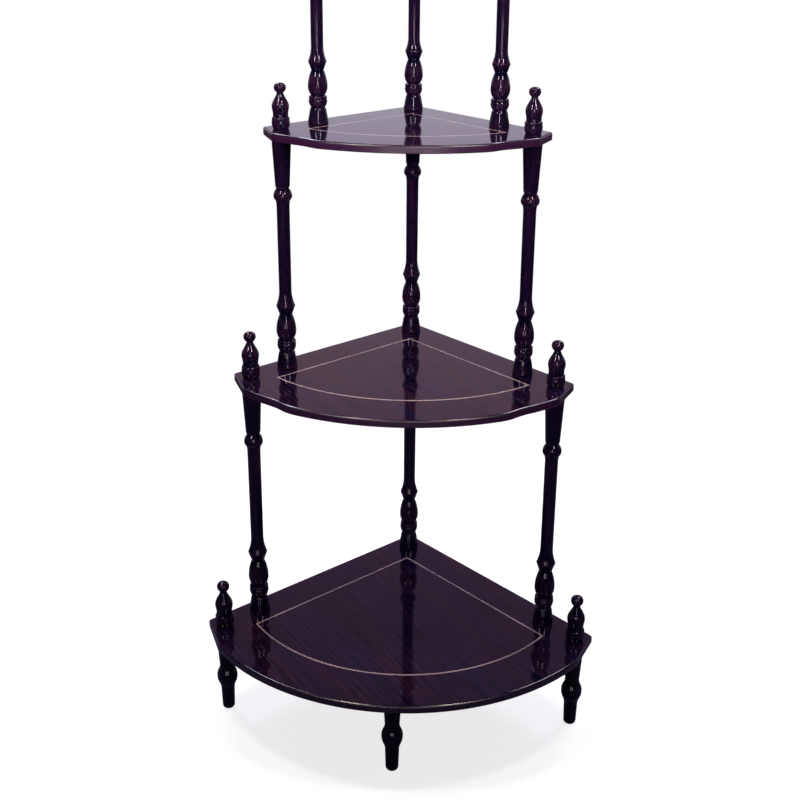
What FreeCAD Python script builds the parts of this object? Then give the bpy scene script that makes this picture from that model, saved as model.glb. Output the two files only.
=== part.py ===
import FreeCAD, Part
import math
import os

# Five-tier corner shelf in millimetres. +Z is up, -Y is the open bowed front, and the square
# back corner, which stands in the corner of a room, points along +Y.

# Shelf boards
ARM = 350.0              # straight back edge of the bottom shelf, from the back corner to a tip
TOP_ARM = 130.0          # the same edge of the top shelf; those between are graded evenly
BOARD = 9.5              # board thickness
EAR = 62.0               # straight end of the bottom shelf, from the tip to the front corner
EAR_STEP = 8.5           # what the ends of each next shelf lose
EAR_SPLAY = 22.5         # degrees that an end leans in towards the front
FRONT_BOWS = (109.0, 80.0, 56.0, 41.0, 30.0)   # end corners to the middle of the front, for each shelf
SHOULDER_DROP = 6.0      # how far the ears of the upper shelves stay back from the bowed front
EAR_RUN = 46.0           # front edge of an ear of the second shelf
EAR_RUN_STEP = 8.0
OGEE_RUN = 44.0          # reversed curve from that edge out to the bow
OGEE_STEP = 6.0
EAR_ROUND = 16.0
TIP_ROUND = 4.0
BACK_ROUND = 4.0
TOP_ARRIS = 2.5          # rounding along the upper edge of a board
UNDER_ARRIS = 1.0

# Inlaid line in the top of each board
INLAY_BACK = 48.0        # from the back edges of the bottom shelf to the line
INLAY_BACK_STEP = 2.0    # what that distance loses on each next shelf
INLAY_FRONT = 62.0       # from the bowed front of the bottom shelf to the line
INLAY_FRONT_STEP = 4.5
INLAY_WIDTH = 2.5
INLAY_DEPTH = 1.0
INLAY_FIT = 0.05         # clearance on each side of the line

# Standing heights
FIRST_TIER = 330.0       # top of the bottom board to the top of the next one
SECOND_TIER = 297.0
THIRD_TIER = 267.0
FOURTH_TIER = 241.0
BACK_INSET = 24.0        # from a back edge to the axis of the posts and finials beside it
TIP_INSET = 9.0          # from a tip, along the back edge, to the axis of its finial

GIRTH_STEP = 0.05        # share of their diameters that the turnings of each next level lose
RISE_STEP = 0.085        # share of the heights of their mouldings that they lose

# Turned posts: foot end, measured up from the board
BELL_DIA = 27.2
BELL_ROUND = 2.0
BELL_SHOULDER_DIA = 22.0
BELL_SHOULDER = 18.5     # board to the end of the bell's straight flank
BELL_HEIGHT = 22.6
QUIRK_DIA = 18.6         # floor of the grooves that part the mouldings
QUIRK = 0.8              # width of such a groove
BAND_DIA = 24.4          # band with a bowl-shaped underside
BAND_RISE = 9.2          # groove to the widest part of the band
BAND_CREASE_DIA = 23.2   # shallow crease that parts a thin bead from the band
BAND_CREASE = 11.6       # groove to the crease
BEAD_DIA = 23.9
BAND_HEIGHT = 16.2
VASE_DIA = 25.7
VASE_RISE = 11.8         # groove to the widest part of the vase
VASE_NECK_DIA = 16.2
VASE_HEIGHT = 35.0       # groove to the neck over the vase
RING_DIA = 24.3
RING_ROUND = 1.3         # height of the rounding under the ring's crest
RING_FLANK_DIA = 23.6
RING_RISE = 12.4         # neck to the crest of the ring
RING_FLARE = 21.0        # crest of the ring to the plain shaft
SHAFT_DIA = 16.0

# Turned posts: head end, measured down from the board
SHAFT_TOP_DIA = 16.4
HEAD_DIA = 24.6
HEAD_TAPER = 62.0        # length of the tapered head
HEAD_END_DIA = 18.4
HEAD_QUIRK_DIA = 15.6
HEAD_QUIRK = 5.0
BALL_DIA = 23.5
BALL_UPPER = 10.0        # groove to the widest part of the ball
BALL_LOWER = 5.4         # widest part of the ball to the cup under it
CUP_DIA = 18.4
CUP = 9.0                # hollow cup from the plain shaft up to the ball

# Turned finials, measured up from the board
FINIAL_SEAT_DIA = 19.8
FINIAL_DRUM_DIA = 23.8
FINIAL_DRUM_RISE = 8.4   # board to the widest part of the drum
FINIAL_CREASE_DIA = 22.7
FINIAL_CREASE = 12.0     # board to the crease under the lip
FINIAL_LIP_DIA = 23.1
FINIAL_LIP = 16.2        # board to the top of the lip
FINIAL_WAIST_DIA = 18.4
FINIAL_WAIST = 3.6       # hollow between the lip and the shoulder
FINIAL_SHOULDER_DIA = 23.2
FINIAL_SHOULDER_RISE = 12.0
FINIAL_NECK_DIA = 8.6
FINIAL_NECK_RISE = 18.0  # shoulder to neck
FINIAL_KNOB_DIA = 15.7
FINIAL_KNOB_RISE = 7.2   # neck to the widest part of the knob
FINIAL_HEIGHT = 63.5

# Turned feet, measured up from the floor
FOOT_HEIGHT = 116.0
FOOT_PAD_DIA = 10.0
FOOT_END_DIA = 16.0
FOOT_END_ROUND = 4.5
FOOT_LEG_DIA = 17.4
FOOT_LEG = 29.0          # floor to the hollow under the bulb
FOOT_BULB_DIA = 26.5
FOOT_BULB_RISE = 21.0
FOOT_NECK_DIA = 18.3
FOOT_NECK_RISE = 17.0    # widest part of the bulb to the neck
FOOT_HEAD_DIA = 24.0
FRONT_FOOT_INSET = 47.0  # from the bowed front to the axis of the front foot

# Hidden hardware
STUD_DIA = 6.0
STUD_GRIP = 20.0         # length of a stud in each piece that it joins
STUD_END_ROOM = 1.0      # empty bore past a stud's end
STUD_CHAMFER = 0.6
TENON_DIA = 12.0
TENON_HEIGHT = 6.0
SCREW_DIA = 4.0
SCREW_HEAD_DIA = 8.0
SCREW_HEAD_HEIGHT = 2.6
SCREW_LENGTH = 32.0
SCREW_POINT = 3.0
BORE_FIT = 0.2           # on the diameter of every bore
SCREW_SEAT_FIT = 0.1     # under and around a screw head

SHELF_NAMES = ("bottom", "second", "third", "fourth", "top")
SIDES = (("left", -1), ("right", 1))
TIER_HEIGHTS = (FIRST_TIER, SECOND_TIER, THIRD_TIER, FOURTH_TIER)


def vector(x, y, z=0.0):
    return FreeCAD.Vector(x, y, z)


def line(start, end):
    return Part.LineSegment(start, end).toShape()


class Turning:
    """Half section of a turned piece, drawn upwards along the axis and spun into a solid.

    Diameters and heights that are drawn are multiplied by the girth and the rise of the piece's level.
    """

    def __init__(self, dia, girth=1.0, rise=1.0):
        self.scale = (girth, rise)
        self.start = vector(0, 0)
        self.at = self.point(dia, 0)
        self.edges = [line(self.start, self.at)]

    def point(self, dia, z):
        return vector(dia / 2 * self.scale[0], 0, z * self.scale[1])

    def line(self, dia, z):
        """Straight run: a cylinder, a cone or a flat."""
        end = self.point(dia, z)
        self.edges.append(line(self.at, end))
        self.at = end

    def arc(self, middle, end):
        self.edges.append(Part.Arc(self.at, middle, end).toShape())
        self.at = end

    def curve(self, poles):
        """Bezier stretch through its poles, from where the section stands now."""
        bezier = Part.BezierCurve()
        bezier.setPoles([self.at] + poles)
        self.edges.append(bezier.toShape())
        self.at = poles[-1]

    def rise(self, dia, z):
        """Arc that arrives parallel with the axis."""
        end = self.point(dia, z)
        radius = ((end.x - self.at.x) ** 2 + (end.z - self.at.z) ** 2) / (2 * (end.x - self.at.x))
        half = math.asin((self.at.z - end.z) / radius) / 2
        self.arc(vector(end.x - radius + radius * math.cos(half), 0, end.z + radius * math.sin(half)), end)

    def fall(self, dia, z):
        """Arc that leaves parallel with the axis."""
        end = self.point(dia, z)
        radius = ((end.x - self.at.x) ** 2 + (end.z - self.at.z) ** 2) / (2 * (self.at.x - end.x))
        half = math.asin((end.z - self.at.z) / radius) / 2
        middle = vector(self.at.x - radius + radius * math.cos(half), 0, self.at.z + radius * math.sin(half))
        self.arc(middle, end)

    def swell(self, dia, z):
        """Reversed curve that leaves and arrives parallel with the axis."""
        end = self.point(dia, z)
        half = vector(0, 0, (end.z - self.at.z) / 2)
        self.curve([self.at + half, end - half, end])

    def leave(self, dia, z):
        """Hollow or round curve that leaves parallel with the axis and runs out straight."""
        end = self.point(dia, z)
        self.curve([vector(self.at.x, 0, (self.at.z + end.z) / 2), end])

    def arrive(self, dia, z):
        """Hollow or round curve that starts straight and arrives parallel with the axis."""
        end = self.point(dia, z)
        self.curve([vector(end.x, 0, (self.at.z + end.z) / 2), end])

    def corner(self, dia, z):
        """Quarter round that starts square to the axis and arrives parallel with it."""
        end = self.point(dia, z)
        self.curve([vector(end.x, 0, self.at.z), end])

    def shoulder(self, dia, z, lean=0.0):
        """Curve that leaves along a flank, which leans in by the given share, and arrives square to the axis."""
        end = self.point(dia, z)
        inward = lean * (end.z - self.at.z) * self.scale[0] / self.scale[1]
        self.curve([vector(self.at.x - inward, 0, end.z), end])

    def solid(self):
        """Close the section along the axis and spin it."""
        top = vector(0, 0, self.at.z)
        edges = list(self.edges)
        if self.at.x > 0:
            edges.append(line(self.at, top))
        edges.append(line(top, self.start))
        return Part.Face(Part.Wire(edges)).revolve(vector(0, 0), vector(0, 0, 1), 360)


class Outline:
    """Plan of one shelf. A plan point is (x, distance in front of the back corner)."""

    def __init__(self, level):
        self.arm = ARM - level * (ARM - TOP_ARM) / (len(SHELF_NAMES) - 1)
        ear = EAR - level * EAR_STEP
        splay = math.radians(EAR_SPLAY)
        tip = self.arm * math.sqrt(0.5)
        self.tip = (tip, tip)
        self.ear = (tip - ear * math.sin(splay), tip + ear * math.cos(splay))
        bow = FRONT_BOWS[level]
        self.eared = level > 0
        drop = SHOULDER_DROP if self.eared else 0.0
        self.reach = self.ear[1] + bow
        self.radius = (self.ear[0] ** 2 + bow ** 2 - drop ** 2) / (2 * (bow - drop))
        self.ear_radius = self.radius - drop
        self.centre = self.reach - self.radius
        self.half = math.atan2(self.ear[0], self.ear[1] - self.centre)
        self.ear_run = EAR_RUN - (level - 1) * EAR_RUN_STEP if self.eared else 0.0
        self.ogee_run = OGEE_RUN - (level - 1) * OGEE_STEP if self.eared else 0.0
        self.ear_end = self.half - self.ear_run / self.ear_radius
        self.bow_end = self.ear_end - self.ogee_run / self.radius
        self.inlay_back = INLAY_BACK - level * INLAY_BACK_STEP
        self.inlay_front = INLAY_FRONT - level * INLAY_FRONT_STEP

    def polar(self, radius, angle):
        return (radius * math.sin(angle), self.centre + radius * math.cos(angle))

    def finial(self):
        """Axis of the finial at a tip, and of the post that carries the shelf there."""
        along = self.arm - TIP_INSET
        return ((along - BACK_INSET) * math.sqrt(0.5), (along + BACK_INSET) * math.sqrt(0.5))

    def inlay_corner(self, back, front):
        """Where a line beside a back edge meets a line behind the front."""
        radius = self.radius - front
        offset = back * math.sqrt(2) - self.centre
        run = (math.sqrt(2 * radius ** 2 - offset ** 2) - offset) / 2
        return (run, back * math.sqrt(2) + run)


OUTLINES = [Outline(level) for level in range(len(SHELF_NAMES))]
BACK_TRIM = BACK_ROUND * (math.sqrt(2) - 1)
CORNER_Y = (OUTLINES[0].reach + BACK_TRIM) / 2
BACK_POST = (0.0, BACK_INSET * math.sqrt(2))
FRONT_FOOT = (0.0, OUTLINES[0].reach - FRONT_FOOT_INSET)
BOARD_TOPS = [FOOT_HEIGHT + BOARD + sum(TIER_HEIGHTS[:level]) for level in range(len(SHELF_NAMES))]
SCALES = [(1 - GIRTH_STEP * level, 1 - RISE_STEP * level) for level in range(len(SHELF_NAMES))]
STUD_BORE = STUD_DIA + BORE_FIT
STUD_DEPTH = STUD_GRIP + STUD_END_ROOM


def place(point, z=0.0, side=1.0):
    """Plan point to a point in the frame."""
    return vector(side * point[0], CORNER_Y - point[1], z)


def cylinder(dia, height, point, z, side=1.0):
    return Part.makeCylinder(dia / 2, height, place(point, z, side))


def moved(shape, point, z, side=1.0):
    copy = shape.copy()
    copy.translate(place(point, z, side))
    return copy


def upright_edges(solid, points):
    """Edges of a board that stand over the given points of its outline."""
    found = []
    for edge in solid.Edges:
        low, high = edge.Vertexes[0].Point, edge.Vertexes[-1].Point
        if abs(low.z - high.z) > BOARD / 2 and any((low - vector(p.x, p.y, low.z)).Length < 0.01 for p in points):
            found.append(edge)
    return found


def ear_front(plan, side):
    """Front edge of an ear, and the reversed curve from it out to the bow."""
    ear = place(plan.ear, 0.0, side)
    ear_middle = place(plan.polar(plan.ear_radius, (plan.half + plan.ear_end) / 2), 0.0, side)
    ear_end = place(plan.polar(plan.ear_radius, plan.ear_end), 0.0, side)
    bow_end = place(plan.polar(plan.radius, plan.bow_end), 0.0, side)
    pull = plan.ogee_run / 2
    leave = vector(-side * math.cos(plan.ear_end), -math.sin(plan.ear_end)) * pull
    arrive = vector(-side * math.cos(plan.bow_end), -math.sin(plan.bow_end)) * pull
    ogee = Part.BezierCurve()
    ogee.setPoles([ear_end, ear_end + leave, bow_end - arrive, bow_end])
    return [Part.Arc(ear, ear_middle, ear_end).toShape(), ogee.toShape()]


def board_blank(plan):
    """Board with its eared and bowed outline, before any bore."""
    corner = place((0.0, 0.0))
    edges = []
    for side in (-1.0, 1.0):
        tip = place(plan.tip, 0.0, side)
        edges.append(line(corner, tip))
        edges.append(line(tip, place(plan.ear, 0.0, side)))
        if plan.eared:
            edges.extend(ear_front(plan, side))
    bow_left = place(plan.polar(plan.radius, plan.bow_end), 0.0, -1.0)
    bow_right = place(plan.polar(plan.radius, plan.bow_end))
    edges.append(Part.Arc(bow_left, place((0.0, plan.reach)), bow_right).toShape())
    board = Part.Face(Part.Wire(Part.__sortEdges__(edges))).extrude(vector(0, 0, BOARD))
    for radius, points in (
        (EAR_ROUND, [place(plan.ear, 0.0, side) for side in (-1.0, 1.0)]),
        (TIP_ROUND, [place(plan.tip, 0.0, side) for side in (-1.0, 1.0)]),
        (BACK_ROUND, [corner]),
    ):
        board = board.makeFillet(radius, upright_edges(board, points))
    for radius, height in ((TOP_ARRIS, BOARD), (UNDER_ARRIS, 0.0)):
        faces = [f for f in board.Faces if abs(f.BoundBox.ZMin - height) + abs(f.BoundBox.ZMax - height) < 1e-6]
        board = board.makeFillet(radius, faces[0].OuterWire.Edges)
    return board


def inlay_loop(plan, back, front):
    """Closed line of two straights beside the back edges and an arc behind the front."""
    corner = place((0.0, back * math.sqrt(2)))
    left = place(plan.inlay_corner(back, front), 0.0, -1.0)
    right = place(plan.inlay_corner(back, front))
    front_middle = place((0.0, plan.reach - front))
    arc = Part.Arc(left, front_middle, right).toShape()
    return Part.Wire([line(corner, left), arc, line(right, corner)])


def inlay_ring(plan, top, fit):
    """Ring for the inlaid line, drawn in by the fit on each side, flush with the board's top."""
    near = fit
    far = INLAY_WIDTH - fit
    outer = Part.Face(inlay_loop(plan, plan.inlay_back + near, plan.inlay_front + near))
    inner = Part.Face(inlay_loop(plan, plan.inlay_back + far, plan.inlay_front + far))
    ring = outer.cut(inner).extrude(vector(0, 0, INLAY_DEPTH))
    ring.translate(vector(0, 0, top - INLAY_DEPTH))
    return ring.Solids[0]


def screw(grow=0.0):
    """Countersunk wood screw pointing up, with the flat of its head at zero."""
    turning = Turning(SCREW_HEAD_DIA + 2 * grow)
    turning.line(SCREW_DIA + 2 * grow, SCREW_HEAD_HEIGHT + grow)
    turning.line(SCREW_DIA + 2 * grow, SCREW_LENGTH - SCREW_POINT + grow)
    turning.line(SCREW_DIA / 4 + 2 * grow, SCREW_LENGTH + grow)
    return turning.solid()


def stud():
    """Plain stud that stands with its middle in a board."""
    length = BOARD + 2 * STUD_GRIP
    turning = Turning(STUD_DIA - 2 * STUD_CHAMFER)
    turning.line(STUD_DIA, STUD_CHAMFER)
    turning.line(STUD_DIA, length - STUD_CHAMFER)
    turning.line(STUD_DIA - 2 * STUD_CHAMFER, length)
    return turning.solid()


def post(length, girth, rise):
    """Post with a bell, a beaded band, a vase and a ring at its foot, and a ball under its tapered head."""
    turning = Turning(BELL_DIA - 2 * BELL_ROUND, girth, rise)
    turning.corner(BELL_DIA, BELL_ROUND)
    turning.line(BELL_SHOULDER_DIA, BELL_SHOULDER)
    turning.shoulder(QUIRK_DIA, BELL_HEIGHT, (BELL_DIA - BELL_SHOULDER_DIA) / 2 / (BELL_SHOULDER - BELL_ROUND))
    z = BELL_HEIGHT + QUIRK
    turning.line(QUIRK_DIA, z)
    turning.rise(BAND_DIA, z + BAND_RISE)
    turning.fall(BAND_CREASE_DIA, z + BAND_CREASE)
    turning.rise(BEAD_DIA, z + (BAND_CREASE + BAND_HEIGHT) / 2)
    z += BAND_HEIGHT
    turning.shoulder(QUIRK_DIA, z)
    z += QUIRK
    turning.line(QUIRK_DIA, z)
    turning.rise(VASE_DIA, z + VASE_RISE)
    z += VASE_HEIGHT
    turning.leave(VASE_NECK_DIA, z)
    z += RING_RISE
    turning.line(RING_FLANK_DIA, z - RING_ROUND)
    turning.rise(RING_DIA, z)
    turning.arrive(SHAFT_DIA, z + RING_FLARE)
    top = length / rise
    head = top - HEAD_TAPER
    ball = head - HEAD_QUIRK - BALL_UPPER
    turning.line(SHAFT_TOP_DIA, ball - BALL_LOWER - CUP)
    turning.leave(CUP_DIA, ball - BALL_LOWER)
    turning.rise(BALL_DIA, ball)
    turning.fall(HEAD_QUIRK_DIA, head - HEAD_QUIRK)
    turning.rise(HEAD_END_DIA, head)
    turning.line(HEAD_DIA, top)
    return turning.solid()


def finial(girth, rise):
    """Finial with a lipped drum for a base, a bottle shoulder and a knob."""
    turning = Turning(FINIAL_SEAT_DIA, girth, rise)
    turning.rise(FINIAL_DRUM_DIA, FINIAL_DRUM_RISE)
    turning.fall(FINIAL_CREASE_DIA, FINIAL_CREASE)
    turning.rise(FINIAL_LIP_DIA, (FINIAL_CREASE + FINIAL_LIP) / 2)
    turning.shoulder(FINIAL_WAIST_DIA, FINIAL_LIP)
    z = FINIAL_LIP + FINIAL_WAIST
    turning.line(FINIAL_WAIST_DIA, z)
    z += FINIAL_SHOULDER_RISE
    turning.swell(FINIAL_SHOULDER_DIA, z)
    z += FINIAL_NECK_RISE
    turning.swell(FINIAL_NECK_DIA, z)
    turning.swell(FINIAL_KNOB_DIA, z + FINIAL_KNOB_RISE)
    turning.shoulder(0, FINIAL_HEIGHT)
    return turning.solid()


def foot():
    """Foot with a tapered head, a bulb and a slim leg with a rounded end."""
    turning = Turning(FOOT_PAD_DIA)
    turning.rise(FOOT_END_DIA, FOOT_END_ROUND)
    turning.line(FOOT_LEG_DIA, FOOT_LEG)
    bulb = FOOT_LEG + FOOT_BULB_RISE
    turning.swell(FOOT_BULB_DIA, bulb)
    turning.swell(FOOT_NECK_DIA, bulb + FOOT_NECK_RISE)
    turning.line(FOOT_HEAD_DIA, FOOT_HEIGHT)
    return turning.solid()


def shelf(level):
    """One board with its inlay groove and the bores that its posts, finials and feet need."""
    plan = OUTLINES[level]
    top = BOARD_TOPS[level]
    under = top - BOARD
    board = board_blank(plan)
    board.translate(vector(0, 0, under))
    cuts = [inlay_ring(plan, top, 0.0)]
    cuts.append(cylinder(STUD_BORE, BOARD, BACK_POST, under))
    for _, side in SIDES:
        cuts.append(cylinder(STUD_BORE, BOARD, plan.finial(), under, side))
        if level < len(TIER_HEIGHTS):
            cuts.append(moved(screw(SCREW_SEAT_FIT), OUTLINES[level + 1].finial(), under, side))
    if level == 0:
        cuts.append(cylinder(TENON_DIA + BORE_FIT, TENON_HEIGHT, FRONT_FOOT, under))
    return board.cut(Part.makeCompound(cuts)).Solids[0]


def export(node, shape):
    shape.exportStep("parts/" + node + ".step")


def build():
    os.makedirs("parts", exist_ok=True)
    studs = []
    screws = []
    turned_foot = foot()
    foot_bore = Part.makeCylinder(STUD_BORE / 2, STUD_DEPTH, vector(0, 0, FOOT_HEIGHT - STUD_DEPTH))
    seated_foot = turned_foot.cut(foot_bore)
    tenon = Part.makeCylinder(TENON_DIA / 2, TENON_HEIGHT, vector(0, 0, FOOT_HEIGHT))

    for level, name in enumerate(SHELF_NAMES):
        plan = OUTLINES[level]
        top = BOARD_TOPS[level]
        stud_z = top - BOARD - STUD_GRIP
        seated_finial = finial(*SCALES[level]).cut(Part.makeCylinder(STUD_BORE / 2, STUD_DEPTH))
        export(name + "_shelf", shelf(level))
        export(name + "_inlay", inlay_ring(plan, top, INLAY_FIT))
        studs.append(moved(stud(), BACK_POST, stud_z))
        for side_name, side in SIDES:
            export(name + "_" + side_name + "_finial", moved(seated_finial, plan.finial(), top, side))
            studs.append(moved(stud(), plan.finial(), stud_z, side))
    export("top_back_finial", moved(seated_finial, BACK_POST, BOARD_TOPS[-1]))

    for tier, height in enumerate(TIER_HEIGHTS):
        length = height - BOARD
        base = BOARD_TOPS[tier]
        head_bore = Part.makeCylinder(STUD_BORE / 2, STUD_DEPTH, vector(0, 0, length - STUD_DEPTH))
        base_bore = Part.makeCylinder(STUD_BORE / 2, STUD_DEPTH)
        pilot = screw(SCREW_SEAT_FIT)
        pilot.translate(vector(0, 0, -BOARD))
        turned_post = post(length, *SCALES[tier]).cut(head_bore)
        back_post = turned_post.cut(base_bore)
        side_post = turned_post.cut(pilot)
        spot = OUTLINES[tier + 1].finial()
        export("tier%d_back_post" % (tier + 1), moved(back_post, BACK_POST, base))
        for side_name, side in SIDES:
            export("tier%d_%s_post" % (tier + 1, side_name), moved(side_post, spot, base, side))
            screws.append(moved(screw(), spot, base - BOARD, side))

    export("back_foot", moved(seated_foot, BACK_POST, 0.0))
    for side_name, side in SIDES:
        export(side_name + "_foot", moved(seated_foot, OUTLINES[0].finial(), 0.0, side))
    export("front_foot", moved(turned_foot.fuse(tenon), FRONT_FOOT, 0.0))

    export("joint_studs", Part.makeCompound(studs))
    export("post_screws", Part.makeCompound(screws))


build()
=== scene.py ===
"""Corner shelf in dark plum lacquer: its finishes, its turned pieces and the studio it stands in."""

import logging
import math
from collections.abc import Iterable, Mapping
from dataclasses import dataclass, field
from enum import Enum
from typing import Any

import bpy
from mathutils import Matrix, Vector


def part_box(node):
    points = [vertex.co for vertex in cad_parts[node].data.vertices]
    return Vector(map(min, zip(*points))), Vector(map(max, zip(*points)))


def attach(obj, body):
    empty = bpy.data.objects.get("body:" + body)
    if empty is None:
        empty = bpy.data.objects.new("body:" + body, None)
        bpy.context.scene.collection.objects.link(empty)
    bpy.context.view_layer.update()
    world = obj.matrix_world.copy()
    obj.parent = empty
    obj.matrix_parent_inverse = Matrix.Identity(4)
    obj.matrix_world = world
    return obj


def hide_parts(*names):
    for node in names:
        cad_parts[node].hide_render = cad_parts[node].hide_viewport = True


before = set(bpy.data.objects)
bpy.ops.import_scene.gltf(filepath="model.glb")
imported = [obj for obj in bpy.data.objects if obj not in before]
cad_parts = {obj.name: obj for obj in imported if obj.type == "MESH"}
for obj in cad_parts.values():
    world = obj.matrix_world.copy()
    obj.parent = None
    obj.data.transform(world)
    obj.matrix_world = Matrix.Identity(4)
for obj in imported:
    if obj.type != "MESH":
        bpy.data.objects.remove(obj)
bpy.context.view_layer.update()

MM = 0.001
ROOT = "root"
CURVE_STEPS = 12              # straight runs in each curved stretch of a section
NOISE_MIDDLE = 0.5            # mean of a noise texture
log = logging.getLogger("corner_shelf")


class Turned(Enum):
    """Kinds of turned pieces."""

    POST = "post"
    FINIAL = "finial"
    FOOT = "foot"


class Slot(Enum):
    """Names of the record's material slots for the turned pieces and the screws."""

    TURNED = "turned_lacquer"
    SCREW = "screw_steel"


class Reach(Enum):
    """What a lamp does to a surface."""

    FULL = "lights it and shows in its gloss"
    GLINT = "only shows in its gloss"
    FILL = "only lights it"


class Light(Enum):
    """Colours of the lamps."""

    STRIP = "F8F2FF"
    FILL = "FFE2D4"
    HIGH = "FFECE6"
    BACK = "F4F0FF"
    GLINT = "FFF4F2"
    LOW = "FFF8F6"


def linear(code: str) -> tuple[float, float, float, float]:
    """Turn an sRGB hex colour to linear light.

    Args:
        code: Six hex digits.

    Returns:
        Red, green, blue and an alpha of one.
    """
    parts = [int(code[i:i + 2], 16) / 255 for i in (0, 2, 4)]
    red, green, blue = [p / 12.92 if p <= 0.04045 else ((p + 0.055) / 1.055) ** 2.4 for p in parts]
    return red, green, blue, 1.0


def add_node(tree: bpy.types.NodeTree, kind: str, inputs: Mapping[Any, Any] | None = None, **settings: Any) -> Any:
    """Add a node with its settings and links.

    Args:
        tree: Node tree that gets the node.
        kind: Type name of the node.
        inputs: Value or output socket for each input, by name or number.
        settings: Properties of the node.

    Returns:
        The new node.
    """
    node = tree.nodes.new(kind)
    for name, value in settings.items():
        setattr(node, name, value)
    for key, value in (inputs or {}).items():
        if isinstance(value, bpy.types.NodeSocket):
            tree.links.new(value, node.inputs[key])
        else:
            node.inputs[key].default_value = value
    return node


def set_ramp(node: Any, stops: Iterable[tuple[float, tuple[float, ...]]]) -> None:
    """Give a colour ramp its stops.

    Args:
        node: Colour ramp node.
        stops: Position and colour of each stop, from low to high.
    """
    elements = node.color_ramp.elements
    for index, (position, colour) in enumerate(stops):
        stop = elements[index] if index < len(elements) else elements.new(position)
        stop.position = position
        stop.color = colour


def mix_colours(tree: bpy.types.NodeTree, share: Any, first: Any, second: Any) -> bpy.types.NodeSocket:
    """Mix two colours.

    Args:
        tree: Node tree that gets the node.
        share: Output socket with the second colour's share.
        first: Colour, or the output socket of one.
        second: Colour, or the output socket of one.

    Returns:
        The output socket of the mixed colour.
    """
    node = add_node(tree, "ShaderNodeMix", {"Factor": share, "A": first, "B": second}, data_type="RGBA")
    return node.outputs["Result"]


def remap(tree: bpy.types.NodeTree, value: Any, span: tuple[float, float], ends: tuple[Any, Any] = (0.0, 1.0),
          **settings: Any) -> bpy.types.NodeSocket:
    """Spread a span of values between two ends, and cut off what lies past them.

    Args:
        tree: Node tree that gets the node.
        value: Output socket of the value.
        span: Values that give the two ends.
        ends: Results at the two ends, or output sockets of them.
        settings: Properties of the node.

    Returns:
        The output socket of the result.
    """
    inputs = {"Value": value, "From Min": span[0], "From Max": span[1], "To Min": ends[0], "To Max": ends[1]}
    return add_node(tree, "ShaderNodeMapRange", inputs, **settings).outputs["Result"]


def noise(tree: bpy.types.NodeTree, place: Any, sizes: tuple[float, float, float], detail: float,
          **inputs: float) -> bpy.types.NodeSocket:
    """Add a noise texture with real sizes.

    Args:
        tree: Node tree that gets the nodes.
        place: Output socket of the place, in metres.
        sizes: Size of a speck along X, Y and Z, in mm.
        detail: Number of finer layers.
        inputs: Further inputs of the texture.

    Returns:
        The output socket of the noise, from zero to one.
    """
    scaled = add_node(tree, "ShaderNodeMapping", {"Vector": place, "Scale": tuple(1 / (size * MM) for size in sizes)})
    return add_node(tree, "ShaderNodeTexNoise", {
        "Vector": scaled.outputs["Vector"], "Scale": 1.0, "Detail": detail, **inputs}).outputs["Fac"]


def new_material(name: str) -> tuple[bpy.types.Material, bpy.types.NodeTree, Any]:
    """Make a material that holds only a Principled shader and its output.

    Args:
        name: Name of the material.

    Returns:
        The material, its node tree and the shader node.
    """
    material = bpy.data.materials.new(name)
    material.use_nodes = True
    tree = material.node_tree
    tree.nodes.clear()
    shader = add_node(tree, "ShaderNodeBsdfPrincipled")
    add_node(tree, "ShaderNodeOutputMaterial", {"Surface": shader.outputs["BSDF"]})
    return material, tree, shader


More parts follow.
